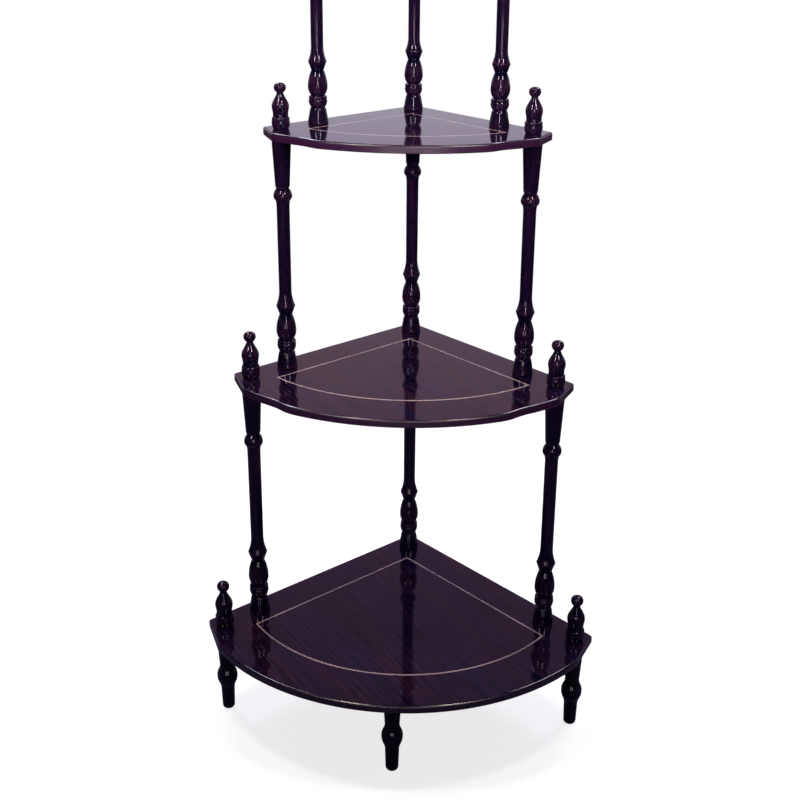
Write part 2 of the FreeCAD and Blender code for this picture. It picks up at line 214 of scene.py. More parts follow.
@dataclass(frozen=True)
class BoardLacquer:
    """Mahogany veneer under dark plum lacquer, sprayed and polished to a mirror.

    The eye sees straight fine grain only faintly through the dark film, a redder edge where the film is thin
    over the board's edge, and clear reflections that grow stronger towards grazing view.
    """

    dark: str = "030315"
    cool: str = "201638"
    warm: str = "321826"
    edge: str = "2C1130"
    grain_turn: float = 55.0      # degrees from the front to the way the grain runs
    grain_width: float = 3.8      # mm across a grain line, drawn coarser than real pores so that it shows
    grain_length: float = 90.0    # mm along a grain line
    grain_detail: float = 4.0
    grain_break: float = 0.62     # how much the finest lines break up the others
    grain_waver: float = 0.25
    grain_span: tuple[float, float] = (0.38, 0.68)     # grain values from the darkest line to plain wood
    ribbon_width: float = 30.0    # mm across the broad stripes of the veneer
    ribbon_length: float = 270.0  # mm along them
    ribbon_detail: float = 2.0
    ribbon_span: tuple[float, float] = (0.35, 0.65)    # stripe values from cool to warm
    edge_span: tuple[float, float] = (0.55, 0.15)      # upright share of the normal where the edge's colour sets in
    peel: float = 3.0             # mm from crest to crest of the sprayed film
    peel_depth: float = 0.1       # mm
    peel_strength: float = 0.05
    peel_detail: float = 1.0
    roughness: float = 0.05
    pore_roughness: float = 0.12  # open pores break the film's mirror
    pore_span: tuple[float, float] = (0.3, 0.55)       # grain values from an open pore to a closed film
    edge_roughness: float = 0.32  # the board's edge is sprayed but not polished
    polish_span: tuple[float, float] = (0.97, 0.65)    # upright share of the normal where the polish ends
    ior: float = 1.50

    def material(self) -> bpy.types.Material:
        """Build the material.

        Returns:
            The new material.
        """
        material, tree, shader = new_material("polished_plum_lacquer_on_veneer")
        place = add_node(tree, "ShaderNodeTexCoord").outputs
        turned = add_node(tree, "ShaderNodeMapping", {
            "Vector": place["Object"], "Rotation": (0, 0, math.radians(self.grain_turn))}).outputs["Vector"]
        grain = noise(tree, turned, (self.grain_length, self.grain_width, self.grain_width), self.grain_detail,
                      Roughness=self.grain_break, Distortion=self.grain_waver)
        ribbon = noise(tree, turned, (self.ribbon_length, self.ribbon_width, self.ribbon_width), self.ribbon_detail)
        wood = mix_colours(tree, remap(tree, ribbon, self.ribbon_span), linear(self.cool), linear(self.warm))
        veneer = mix_colours(tree, remap(tree, grain, self.grain_span), linear(self.dark), wood)
        facing = add_node(tree, "ShaderNodeSeparateXYZ", {0: place["Normal"]})
        level = add_node(tree, "ShaderNodeMath", {0: facing.outputs["Z"]}, operation="ABSOLUTE").outputs[0]
        colour = mix_colours(tree, remap(tree, level, self.edge_span), veneer, linear(self.edge))
        spray = noise(tree, place["Object"], (self.peel, self.peel, self.peel), self.peel_detail)
        film = add_node(tree, "ShaderNodeBump", {
            "Height": spray, "Strength": self.peel_strength, "Distance": self.peel_depth * MM})
        pores = remap(tree, grain, self.pore_span, (self.pore_roughness, self.roughness))
        polish = remap(tree, level, self.polish_span, (pores, self.edge_roughness))
        tree.links.new(polish, shader.inputs["Roughness"])
        tree.links.new(colour, shader.inputs["Base Color"])
        tree.links.new(film.outputs["Normal"], shader.inputs["Normal"])
        shader.inputs["IOR"].default_value = self.ior
        return material


@dataclass(frozen=True)
class TurnedLacquer:
    """Turned hardwood under the same plum lacquer, with painted shade that darkens its grooves.

    The eye sees almost black shafts, redder streaks of grain, a little redder on the crests, painted shade in the
    grooves, and small sharp lights.
    """

    # The deep colour is painted shade at the bottom of the grooves.
    deep: str = "04031A"
    body: str = "150B25"
    crest: str = "40192E"
    stops: tuple[float, float, float] = (0.1, 0.5, 0.85)   # where crest, body and deep stand from crest to groove
    grain_width: float = 2.2      # mm across a grain line, drawn coarser than real pores so that it shows
    grain_length: float = 60.0
    grain_detail: float = 3.0
    streak: float = 1.3           # share of the grain in the tone, against the grooves
    groove_shade_span: tuple[float, float] = (-1.0, 1.0)           # tone values from crest to groove: grain together with the painted groove shade
    roughness: float = 0.06
    specular: float = 0.24        # the film is thin over end grain and mirrors less than on the boards

    def material(self) -> bpy.types.Material:
        """Build the material.

        Returns:
            The new material.
        """
        material, tree, shader = new_material("plum_lacquer_on_turned_hardwood_with_painted_groove_shade")
        place = add_node(tree, "ShaderNodeTexCoord").outputs["Object"]
        grain = noise(tree, place, (self.grain_width, self.grain_width, self.grain_length), self.grain_detail)
        # Painted shade: the grooves darken with the hollow that the lathe tree stores.
        hollow = add_node(tree, "ShaderNodeAttribute", attribute_name="hollow")
        streak = add_node(tree, "ShaderNodeMath", {0: grain, 1: NOISE_MIDDLE}, operation="SUBTRACT")
        film = add_node(tree, "ShaderNodeMath", {0: streak.outputs[0], 1: self.streak, 2: hollow.outputs["Fac"]},
                        operation="MULTIPLY_ADD")
        ramp = add_node(tree, "ShaderNodeValToRGB", {"Fac": remap(tree, film.outputs[0], self.groove_shade_span)})
        set_ramp(ramp, zip(self.stops, (linear(self.crest), linear(self.body), linear(self.deep))))
        tree.links.new(ramp.outputs["Color"], shader.inputs["Base Color"])
        shader.inputs["Roughness"].default_value = self.roughness
        shader.inputs["Specular IOR Level"].default_value = self.specular
        return material


@dataclass(frozen=True)
class InlayLine:
    """Pale maple stringing let into the veneer and lacquered over with it."""

    pale: str = "AE9C97"
    shade: str = "988884"
    figure: float = 9.0           # mm from one darker stretch of the line to the next
    detail: float = 3.0
    roughness: float = 0.12
    ior: float = 1.40

    def material(self) -> bpy.types.Material:
        """Build the material.

        Returns:
            The new material.
        """
        material, tree, shader = new_material("lacquered_maple_stringing")
        place = add_node(tree, "ShaderNodeTexCoord").outputs["Object"]
        figure = noise(tree, place, (self.figure, self.figure, self.figure), self.detail)
        colour = mix_colours(tree, figure, linear(self.shade), linear(self.pale))
        tree.links.new(colour, shader.inputs["Base Color"])
        shader.inputs["Roughness"].default_value = self.roughness
        shader.inputs["IOR"].default_value = self.ior
        return material


@dataclass(frozen=True)
class PlatedSteel:
    """Plated steel of studs and screws: metal with a faint cloudy sheen."""

    name: str
    bright: str = "B9BBBE"
    dull: str = "8E9196"
    cloud: float = 2.5            # mm across a cloud of the plating
    detail: float = 4.0
    roughness: float = 0.32

    def material(self) -> bpy.types.Material:
        """Build the material.

        Returns:
            The new material.
        """
        material, tree, shader = new_material(self.name)
        place = add_node(tree, "ShaderNodeTexCoord").outputs["Object"]
        cloud = noise(tree, place, (self.cloud, self.cloud, self.cloud), self.detail)
        colour = mix_colours(tree, cloud, linear(self.dull), linear(self.bright))
        tree.links.new(colour, shader.inputs["Base Color"])
        shader.inputs["Metallic"].default_value = 1.0
        shader.inputs["Roughness"].default_value = self.roughness
        return material


@dataclass
class Section:
    """Half section of a turned piece, drawn upwards as a Bezier line.

    Sizes are given in millimetres as a diameter and a height; points are kept as (radius, height).
    """

    dia: float
    at: Vector = field(init=False)
    points: list[Vector] = field(init=False)
    before: list[Vector | None] = field(init=False)
    after: list[Vector | None] = field(init=False)

    def __post_init__(self) -> None:
        """Start the line at the foot."""
        self.at = Vector((self.dia / 2, 0.0))
        self.points, self.before, self.after = [self.at], [None], [None]

    def _add(self, end: Vector, leave: Vector | None = None, arrive: Vector | None = None) -> None:
        """Add a stretch to the line.

        Args:
            end: Where it ends.
            leave: Handle at its start, where it is curved.
            arrive: Handle at its end, where it is curved.
        """
        self.after[-1] = leave
        self.points.append(end)
        self.before.append(arrive)
        self.after.append(None)
        self.at = end

    def line(self, dia: float, z: float) -> None:
        """Draw a straight run."""
        self._add(Vector((dia / 2, z)))

    def swell(self, dia: float, z: float, low: float = 0.5, high: float = 0.5) -> None:
        """Draw a reversed curve that leaves and arrives parallel with the axis.

        Args:
            dia: Diameter where the curve ends.
            z: Height where the curve ends.
            low: Pull of the lower end along the axis, as a share of the height.
            high: Pull of the upper end.
        """
        end = Vector((dia / 2, z))
        way = Vector((0.0, z - self.at.y))
        self._add(end, self.at + low * way, end - high * way)

    def arc(self, end: Vector, centre: Vector) -> None:
        """Draw a circular arc, counter-clockwise about its centre.

        Args:
            end: Where the arc ends.
            centre: Centre of the circle.
        """
        first, last = self.at - centre, end - centre
        turn = (math.atan2(last.y, last.x) - math.atan2(first.y, first.x)) % (2 * math.pi)
        pull = 4 / 3 * math.tan(turn / 4)
        self._add(end, self.at + pull * Vector((-first.y, first.x)), end - pull * Vector((-last.y, last.x)))

    def rise(self, dia: float, z: float) -> None:
        """Draw an arc that arrives parallel with the axis.

        Args:
            dia: Diameter where the arc ends.
            z: Height where the arc ends.
        """
        end = Vector((dia / 2, z))
        radius = (end - self.at).length_squared / (2 * (end.x - self.at.x))
        self.arc(end, end - Vector((radius, 0.0)))

    def fall(self, dia: float, z: float) -> None:
        """Draw an arc that leaves parallel with the axis.

        Args:
            dia: Diameter where the arc ends.
            z: Height where the arc ends.
        """
        end = Vector((dia / 2, z))
        radius = (end - self.at).length_squared / (2 * (self.at.x - end.x))
        self.arc(end, self.at - Vector((radius, 0.0)))

    def bend(self, corner: Vector, end: Vector) -> None:
        """Draw a plain curve whose two end runs would meet at a corner."""
        self._add(end, self.at.lerp(corner, 2 / 3), end.lerp(corner, 2 / 3))

    def leave(self, dia: float, z: float) -> None:
        """Draw a curve that leaves parallel with the axis and runs out straight."""
        self.bend(Vector((self.at.x, (self.at.y + z) / 2)), Vector((dia / 2, z)))

    def arrive(self, dia: float, z: float) -> None:
        """Draw a curve that starts straight and arrives parallel with the axis."""
        self.bend(Vector((dia / 2, (self.at.y + z) / 2)), Vector((dia / 2, z)))

    def corner(self, dia: float, z: float) -> None:
        """Draw a quarter round that starts square to the axis and arrives parallel with it."""
        self.bend(Vector((dia / 2, self.at.y)), Vector((dia / 2, z)))

    def shoulder(self, dia: float, z: float, lean: float = 0.0) -> None:
        """Draw a curve that leaves along a flank and arrives square to the axis.

        Args:
            dia: Diameter where the curve ends.
            z: Height where the curve ends.
            lean: How far the flank leans in, as a share of its height.
        """
        self.bend(Vector((self.at.x - lean * (z - self.at.y), z)), Vector((dia / 2, z)))

    def curve(self, name: str) -> bpy.types.Object:
        """Make a curve object of the line, in metres, with the radius along X and the height along Z.

        Args:
            name: Name of the object.

        Returns:
            The new object, linked to the scene.
        """
        data = bpy.data.curves.new(name, "CURVE")
        data.dimensions = "3D"
        data.resolution_u = CURVE_STEPS
        spline = data.splines.new("BEZIER")
        spline.bezier_points.add(len(self.points) - 1)
        for knot, point, before, after in zip(spline.bezier_points, self.points, self.before, self.after):
            knot.handle_left_type = "VECTOR" if before is None else "FREE"
            knot.handle_right_type = "VECTOR" if after is None else "FREE"
            knot.co = (point.x * MM, 0.0, point.y * MM)
            for side, handle in (("handle_left", before), ("handle_right", after)):
                if handle is not None:
                    setattr(knot, side, (handle.x * MM, 0.0, handle.y * MM))
        obj = bpy.data.objects.new(name, data)
        bpy.context.scene.collection.objects.link(obj)
        return obj


@dataclass(frozen=True)
class PostSizes:
    """Mouldings of a post on the bottom board, in millimetres: foot sizes go up, head sizes go down."""

    bell: float = 27.2
    bell_round: float = 2.0
    bell_shoulder_dia: float = 22.0
    bell_shoulder: float = 18.5
    bell_height: float = 22.6
    quirk_dia: float = 18.6
    quirk: float = 0.8
    band: float = 24.4
    band_rise: float = 9.2
    crease_dia: float = 23.2
    crease: float = 11.6
    bead: float = 23.9
    band_height: float = 16.2
    vase: float = 25.7
    vase_rise: float = 11.8
    vase_neck: float = 16.2
    vase_height: float = 35.0
    ring: float = 24.3
    ring_round: float = 1.3
    ring_flank: float = 23.6
    ring_rise: float = 12.4
    ring_flare: float = 21.0
    shaft: float = 16.0
    shaft_top: float = 16.4
    head: float = 24.6
    head_taper: float = 62.0
    head_end: float = 18.4
    head_quirk_dia: float = 15.6
    head_quirk: float = 5.0
    ball: float = 23.5
    ball_upper: float = 10.0
    ball_lower: float = 5.4
    cup_dia: float = 18.4
    cup: float = 9.0

    def section(self, length: float) -> Section:
        """Draw the half section of a post.

        Args:
            length: Board to board, over the rise of the post's level.

        Returns:
            The section.
        """
        line = Section(self.bell - 2 * self.bell_round)
        line.corner(self.bell, self.bell_round)
        line.line(self.bell_shoulder_dia, self.bell_shoulder)
        lean = (self.bell - self.bell_shoulder_dia) / 2 / (self.bell_shoulder - self.bell_round)
        line.shoulder(self.quirk_dia, self.bell_height, lean)
        z = self.bell_height + self.quirk
        line.line(self.quirk_dia, z)
        line.rise(self.band, z + self.band_rise)
        line.fall(self.crease_dia, z + self.crease)
        line.rise(self.bead, z + (self.crease + self.band_height) / 2)
        z += self.band_height
        line.shoulder(self.quirk_dia, z)
        z += self.quirk
        line.line(self.quirk_dia, z)
        line.rise(self.vase, z + self.vase_rise)
        z += self.vase_height
        line.leave(self.vase_neck, z)
        z += self.ring_rise
        line.line(self.ring_flank, z - self.ring_round)
        line.rise(self.ring, z)
        line.arrive(self.shaft, z + self.ring_flare)
        head = length - self.head_taper
        ball = head - self.head_quirk - self.ball_upper
        line.line(self.shaft_top, ball - self.ball_lower - self.cup)
        line.leave(self.cup_dia, ball - self.ball_lower)
        line.rise(self.ball, ball)
        line.fall(self.head_quirk_dia, head - self.head_quirk)
        line.rise(self.head_end, head)
        line.line(self.head, length)
        return line


@dataclass(frozen=True)
class FinialSizes:
    """Mouldings of a finial on the bottom board, in millimetres above it."""

    seat: float = 19.8
    drum: float = 23.8
    drum_rise: float = 8.4
    crease_dia: float = 22.7
    crease: float = 12.0
    lip_dia: float = 23.1
    lip: float = 16.2
    waist_dia: float = 19.8
    waist: float = 3.6
    shoulder: float = 22.4
    shoulder_rise: float = 12.0
    shoulder_pull: float = 0.34
    neck: float = 8.6
    neck_pull: float = 0.2
    neck_rise: float = 17.6
    neck_height: float = 0.8
    knob: float = 15.7
    knob_rise: float = 6.8

    def section(self, length: float) -> Section:
        """Draw the half section of a finial.

        Args:
            length: Its height over the rise of its level.

        Returns:
            The section.
        """
        line = Section(self.seat)
        line.rise(self.drum, self.drum_rise)
        line.fall(self.crease_dia, self.crease)
        line.rise(self.lip_dia, (self.crease + self.lip) / 2)
        line.shoulder(self.waist_dia, self.lip)
        z = self.lip + self.waist
        line.line(self.waist_dia, z)
        z += self.shoulder_rise
        line.swell(self.shoulder, z)
        top = z + self.neck_rise
        line.swell(self.neck, top, self.shoulder_pull, self.neck_pull)
        top += self.neck_height
        line.line(self.neck, top)
        line.rise(self.knob, top + self.knob_rise)
        line.shoulder(0.0, length)
        return line


@dataclass(frozen=True)
class FootSizes:
    """Mouldings of a foot, in millimetres above the floor."""

    pad: float = 10.0
    end: float = 16.0
    end_round: float = 4.5
    leg_dia: float = 17.4
    leg: float = 29.0
    bulb: float = 26.5
    bulb_rise: float = 21.0
    neck: float = 18.3
    neck_rise: float = 17.0
    head: float = 24.0
    height: float = 116.0

    def section(self, length: float) -> Section:
        """Draw the half section of a foot.

        Args:
            length: Height of the foot without a tenon.

        Returns:
            The section.
        """
        line = Section(self.pad)
        line.rise(self.end, self.end_round)
        line.line(self.leg_dia, self.leg)
        bulb = self.leg + self.bulb_rise
        line.swell(self.bulb, bulb)
        line.swell(self.neck, bulb + self.neck_rise)
        line.line(self.head, length)
        return line


def shade_edges(tree: bpy.types.NodeTree, mesh: Any, crisp: float) -> bpy.types.NodeSocket:
    """Shade a mesh smooth, apart from its sharp edges.

    Args:
        tree: Geometry Nodes tree.
        mesh: Output socket of the mesh.
        crisp: Degrees from which an edge stays sharp.

    Returns:
        The output socket of the shaded mesh.
    """
    bend = add_node(tree, "GeometryNodeInputMeshEdgeAngle")
    soft = add_node(tree, "FunctionNodeCompare", {0: bend.outputs["Unsigned Angle"], 1: math.radians(crisp)},
                    data_type="FLOAT", operation="LESS_THAN")
    return add_node(tree, "GeometryNodeSetShadeSmooth", {
        "Geometry": mesh, "Shade Smooth": soft.outputs[0]}, domain="EDGE").outputs[0]


def finish_tree(tree: bpy.types.NodeTree, shape: Any, finish: Any) -> None:
    """End a tree: make its instances real and give them their material.

    Args:
        tree: Geometry Nodes tree.
        shape: Output socket of the geometry.
        finish: Output socket of the material.
    """
    real = add_node(tree, "GeometryNodeRealizeInstances", {"Geometry": shape})
    done = add_node(tree, "GeometryNodeSetMaterial", {"Geometry": real.outputs[0], "Material": finish})
    add_node(tree, "NodeGroupOutput", {0: done.outputs[0]})


class LatheTree:
    """Geometry Nodes tree that spins a half section into a turned piece on its own axis."""

    INPUTS: dict[str, str] = {
        "Girth": "NodeSocketFloat",
        "Rise": "NodeSocketFloat",
        "Axis foot": "NodeSocketVector",
        "Segments": "NodeSocketInt",
        "Groove shade depth": "NodeSocketFloat",
        "Finish": "NodeSocketMaterial",
    }
    EVENING: int = 10             # rounds of blur that even out the radius, to tell grooves from crests
    CREST_LIMIT: float = -0.1     # most that a crest is lightened, as a share of the painted shade in the deepest groove
    WELD: float = 0.001           # mm between points that become one
    CRISP: float = 32.0           # degrees from which an edge stays sharp

    def __init__(self) -> None:
        """Build the tree with named inputs for its sizes."""
        tree = bpy.data.node_groups.new("Turned piece", "GeometryNodeTree")
        self.tree = tree
        face = tree.interface
        face.new_socket("Section", in_out="INPUT", socket_type="NodeSocketGeometry")
        self.inputs = {name: face.new_socket(name, in_out="INPUT", socket_type=kind).identifier
                       for name, kind in self.INPUTS.items()}
        face.new_socket("Piece", in_out="OUTPUT", socket_type="NodeSocketGeometry")
        given = add_node(tree, "NodeGroupInput").outputs
        line = add_node(tree, "GeometryNodeResampleCurve", {"Curve": given["Section"]}, mode="EVALUATED")
        at = add_node(tree, "ShaderNodeSeparateXYZ", {0: add_node(tree, "GeometryNodeInputPosition").outputs[0]})
        radius = at.outputs["X"]
        even = add_node(tree, "GeometryNodeBlurAttribute", {"Value": radius, "Iterations": self.EVENING},
                        data_type="FLOAT")
        dip = add_node(tree, "ShaderNodeMath", {0: even.outputs[0], 1: radius}, operation="SUBTRACT")
        ratio = add_node(tree, "ShaderNodeMath", {0: dip.outputs[0], 1: given["Groove shade depth"]}, operation="DIVIDE")
        share = add_node(tree, "ShaderNodeMath", {0: ratio.outputs[0], 1: self.CREST_LIMIT}, operation="MAXIMUM")
        # Painted shade: how far each point lies in a groove is stored as hollow, and darkens the lacquer there.
        marked = add_node(tree, "GeometryNodeStoreNamedAttribute", {
            "Geometry": line.outputs[0], "Name": "hollow", "Value": share.outputs[0]},
            data_type="FLOAT", domain="POINT")
        wide = add_node(tree, "ShaderNodeMath", {0: radius, 1: given["Girth"]}, operation="MULTIPLY")
        kept = add_node(tree, "GeometryNodeStoreNamedAttribute", {
            "Geometry": marked.outputs[0], "Name": "turned_radius", "Value": wide.outputs[0]},
            data_type="FLOAT", domain="POINT")
        high = add_node(tree, "ShaderNodeMath", {0: at.outputs["Z"], 1: given["Rise"]}, operation="MULTIPLY")
        up = add_node(tree, "ShaderNodeCombineXYZ", {"Z": high.outputs[0]})
        there = add_node(tree, "ShaderNodeVectorMath", {0: up.outputs[0], 1: given["Axis foot"]}, operation="ADD")
        axis = add_node(tree, "GeometryNodeSetPosition", {"Geometry": kept.outputs[0], "Position": there.outputs[0]})
        ring = add_node(tree, "GeometryNodeCurvePrimitiveCircle", {
            "Resolution": given["Segments"], "Radius": 1.0}, mode="RADIUS")
        girth = add_node(tree, "GeometryNodeInputNamedAttribute", {"Name": "turned_radius"}, data_type="FLOAT")
        spun = add_node(tree, "GeometryNodeCurveToMesh", {
            "Curve": axis.outputs[0], "Profile Curve": ring.outputs[0], "Scale": girth.outputs[0], "Fill Caps": True})
        shut = add_node(tree, "GeometryNodeMergeByDistance", {
            "Geometry": spun.outputs[0], "Distance": self.WELD * MM})
        finish_tree(tree, shade_edges(tree, shut.outputs[0], self.CRISP), given["Finish"])

    def piece(self, name: str, section: Section, values: Mapping[str, Any]) -> bpy.types.Object:
        """Spin a section and keep the result as a plain mesh.

        Args:
            name: Name of the piece.
            section: Half section at the size of the bottom board's level.
            values: Value of each named input.

        Returns:
            The turned piece, in its place.
        """
        source = section.curve(name + "_section")
        return bake(name, source, self.tree, {self.inputs[key]: value for key, value in values.items()})


def bake(name: str, source: bpy.types.Object, tree: bpy.types.NodeTree,
         values: Mapping[str, Any]) -> bpy.types.Object:
    """Run a Geometry Nodes tree on an object and replace it by a plain mesh.

    Args:
        name: Name of the piece.
        source: Object that carries the tree's first geometry.
        tree: Geometry Nodes tree.
        values: Value of each input by its identifier.

    Returns:
        The piece as a mesh object at the origin.
    """
    modifier = source.modifiers.new("shape", "NODES")
    modifier.node_group = tree
    for identifier, value in values.items():
        modifier[identifier] = value
    source.update_tag()
    graph = bpy.context.evaluated_depsgraph_get()
    mesh = bpy.data.meshes.new_from_object(source.evaluated_get(graph), depsgraph=graph)
    mesh.name = name
    source.modifiers.remove(modifier)
    data = source.data
    bpy.data.objects.remove(source)
    (bpy.data.curves if isinstance(data, bpy.types.Curve) else bpy.data.meshes).remove(data)
    piece = bpy.data.objects.new(name, mesh)
    bpy.context.scene.collection.objects.link(piece)
    return piece


@dataclass
class TurnedWork:
    """All posts, finials and feet, turned from three sections."""

    lathe: LatheTree
    finish: bpy.types.Material
    girth_step: float = 0.05      # share of their diameters that the turnings of each next level lose
    rise_step: float = 0.085      # share of the heights of their mouldings that they lose
    segments: int = 56
    groove_shade_depth: float = 2.2           # mm of groove at which the painted shade is darkest
    post: PostSizes = PostSizes()
    finial: FinialSizes = FinialSizes()
    foot: FootSizes = FootSizes()
    levels: tuple[str, ...] = ("bottom", "second", "third", "fourth", "top")

    def build(self) -> None:
        """Turn every piece in its own place."""
        for tier in range(1, len(self.levels)):
            for side in ("left", "right", "back"):
                self._turn(f"tier{tier}_{side}_post", Turned.POST, tier - 1)
        for level, board in enumerate(self.levels):
            for side in ("left", "right"):
                self._turn(f"{board}_{side}_finial", Turned.FINIAL, level)
        self._turn("top_back_finial", Turned.FINIAL, len(self.levels) - 1)
        for side in ("left", "right", "back", "front"):
            self._turn(f"{side}_foot", Turned.FOOT, 0)

    def _turn(self, node: str, kind: Turned, level: int) -> None:
        """Turn one piece where its solid stands.

        Args:
            node: Name of the solid that the piece stands for.
            kind: Kind of piece.
            level: Number of its board from the bottom.
        """
        low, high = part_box(node)
        rise = 1 - self.rise_step * level
        sizes = {Turned.POST: self.post, Turned.FINIAL: self.finial, Turned.FOOT: self.foot}[kind]
        length = self.foot.height if kind is Turned.FOOT else (high[2] - low[2]) / MM / rise
        piece = self.lathe.piece(node + "_turned", sizes.section(length), {
            "Girth": 1 - self.girth_step * level,
            "Rise": rise,
            "Axis foot": ((low[0] + high[0]) / 2, (low[1] + high[1]) / 2, low[2]),
            "Segments": self.segments,
            "Groove shade depth": self.groove_shade_depth * MM,
            "Finish": self.finish,
        })
        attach(piece, ROOT)
        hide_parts(node)
        log.info("turned %s, %d faces", piece.name, len(piece.data.polygons))


@dataclass
class CrossHeadScrews:
    """Countersunk screws under the boards, one below each inboard post, sizes in mm."""

    finish: bpy.types.Material
    head: float = 8.0
    head_height: float = 2.6
    shank: float = 4.0
    length: float = 32.0
    point: float = 3.0
    recess: float = 4.6           # from end to end of the cross
    recess_width: float = 1.1
    recess_depth: float = 1.6
    point_share: float = 0.25     # girth left at the end of the point
    crisp: float = 25.0           # degrees from which an edge stays sharp
    sides: int = 28
    seed: int = 4
    boards: tuple[str, ...] = ("bottom", "second", "third", "fourth")

    def build(self) -> None:
        """Set every screw flush with the underside of its board."""
        spots = []
        for tier, board in enumerate(self.boards, 1):
            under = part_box(board + "_shelf")[0][2]
            for side in ("left", "right"):
                low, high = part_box(f"tier{tier}_{side}_post")
                spots.append(((low[0] + high[0]) / 2, (low[1] + high[1]) / 2, under))
        mesh = bpy.data.meshes.new("screw_spots")
        mesh.from_pydata(spots, [], [])
        source = bpy.data.objects.new("screw_spots", mesh)
        bpy.context.scene.collection.objects.link(source)
        tree, inputs = self._tree()
        values = {"Head": self.head, "Head height": self.head_height, "Shank": self.shank, "Length": self.length,
                  "Point": self.point, "Recess": self.recess, "Recess width": self.recess_width,
                  "Recess depth": self.recess_depth}
        given: dict[str, Any] = {inputs[name]: size * MM for name, size in values.items()}
        given |= {inputs["Sides"]: self.sides, inputs["Seed"]: self.seed, inputs["Finish"]: self.finish}
        piece = bake("post_screws_cross_head", source, tree, given)
        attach(piece, ROOT)
        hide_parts("post_screws")
        log.info("set %d screws, %d faces", len(spots), len(piece.data.polygons))

    def _tree(self) -> tuple[bpy.types.NodeTree, dict[str, str]]:
        """Build the tree that sets one screw on each point.

        Returns:
            The tree and the identifier of each named input.
        """
        tree = bpy.data.node_groups.new("Cross-head screws", "GeometryNodeTree")
        face = tree.interface
        face.new_socket("Spots", in_out="INPUT", socket_type="NodeSocketGeometry")
        sizes = ("Head", "Head height", "Shank", "Length", "Point", "Recess", "Recess width", "Recess depth")
        kinds = {name: "NodeSocketFloat" for name in sizes} | {
            "Sides": "NodeSocketInt", "Seed": "NodeSocketInt", "Finish": "NodeSocketMaterial"}
        inputs = {name: face.new_socket(name, in_out="INPUT", socket_type=kind).identifier
                  for name, kind in kinds.items()}
        face.new_socket("Screws", in_out="OUTPUT", socket_type="NodeSocketGeometry")
        given = add_node(tree, "NodeGroupInput").outputs
        wide = add_node(tree, "ShaderNodeMath", {0: given["Head"], 1: 0.5}, operation="MULTIPLY")
        slim = add_node(tree, "ShaderNodeMath", {0: given["Shank"], 1: 0.5}, operation="MULTIPLY")
        head = add_node(tree, "GeometryNodeMeshCone", {
            "Vertices": given["Sides"], "Radius Top": slim.outputs[0], "Radius Bottom": wide.outputs[0],
            "Depth": given["Head height"]})
        above = add_node(tree, "ShaderNodeMath", {0: given["Length"], 1: given["Head height"]}, operation="SUBTRACT")
        plain = add_node(tree, "ShaderNodeMath", {0: above.outputs[0], 1: given["Point"]}, operation="SUBTRACT")
        shank = add_node(tree, "GeometryNodeExtrudeMesh", {
            "Mesh": head.outputs["Mesh"], "Selection": head.outputs["Top"], "Offset": (0, 0, 1),
            "Offset Scale": plain.outputs[0], "Individual": False})
        end = add_node(tree, "GeometryNodeExtrudeMesh", {
            "Mesh": shank.outputs["Mesh"], "Selection": shank.outputs["Top"], "Offset": (0, 0, 1),
            "Offset Scale": given["Point"], "Individual": False})
        point = add_node(tree, "GeometryNodeScaleElements", {
            "Geometry": end.outputs["Mesh"], "Selection": end.outputs["Top"],
            "Scale": self.point_share})
        # The bars stand half out of the head, so they are twice as high as the recess is deep.
        deep = add_node(tree, "ShaderNodeMath", {0: given["Recess depth"], 1: 2.0}, operation="MULTIPLY")
        cross = add_node(tree, "GeometryNodeMeshBoolean", operation="UNION")
        for along, across in (("Recess", "Recess width"), ("Recess width", "Recess")):
            bar = add_node(tree, "ShaderNodeCombineXYZ", {0: given[along], 1: given[across], 2: deep.outputs[0]})
            cube = add_node(tree, "GeometryNodeMeshCube", {"Size": bar.outputs[0]})
            tree.links.new(cube.outputs["Mesh"], cross.inputs["Mesh 2"])
        screw = add_node(tree, "GeometryNodeMeshBoolean", {
            "Mesh 1": point.outputs["Geometry"], "Mesh 2": cross.outputs["Mesh"]}, operation="DIFFERENCE")
        turn = add_node(tree, "FunctionNodeRandomValue", {
            "Min": (0, 0, 0), "Max": (0, 0, math.pi / 2), "Seed": given["Seed"]}, data_type="FLOAT_VECTOR")
        put = add_node(tree, "GeometryNodeInstanceOnPoints", {
            "Points": given["Spots"], "Instance": shade_edges(tree, screw.outputs["Mesh"], self.crisp),
            "Rotation": turn.outputs["Value"]})
        finish_tree(tree, put.outputs[0], given["Finish"])
        return tree, inputs


@dataclass
class Boards:
    """The boards, the lines let into them and the studs, which all keep their solids."""

    lacquer: bpy.types.Material
    line: bpy.types.Material
    stud: bpy.types.Material

    def dress(self) -> None:
        """Give each solid that stays its finish."""
        finishes = {"_shelf": self.lacquer, "_inlay": self.line, "joint_studs": self.stud}
        for node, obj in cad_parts.items():
            for ending, finish in finishes.items():
                if node.endswith(ending):
                    for slot in obj.material_slots:
                        slot.material = finish
                    log.info("dressed %s with %s", node, finish.name)


@dataclass(frozen=True)
class Softbox:
    """Rectangular lamp that looks at a height on the shelf's upright, in metres and watts."""

    name: str
    place: tuple[float, float, float]
    aim: float
    size: tuple[float, float]
    power: float
    colour: Light
    spread: float = 180.0
    reach: Reach = Reach.FULL

    def hang(self) -> None:
        """Add the lamp to the scene."""
        data = bpy.data.lights.new(self.name, "AREA")
        data.shape = "RECTANGLE"
        data.size, data.size_y = self.size
        data.energy = self.power
        data.spread = math.radians(self.spread)
        data.color = linear(self.colour.value)[:3]
        lamp = bpy.data.objects.new(self.name, data)
        lamp.location = self.place
        lamp.visible_diffuse = self.reach is not Reach.GLINT
        lamp.visible_glossy = self.reach is not Reach.FILL
        way = Vector((0.0, 0.0, self.aim)) - Vector(self.place)
        lamp.rotation_euler = way.to_track_quat("-Z", "Y").to_euler()
        bpy.context.scene.collection.objects.link(lamp)


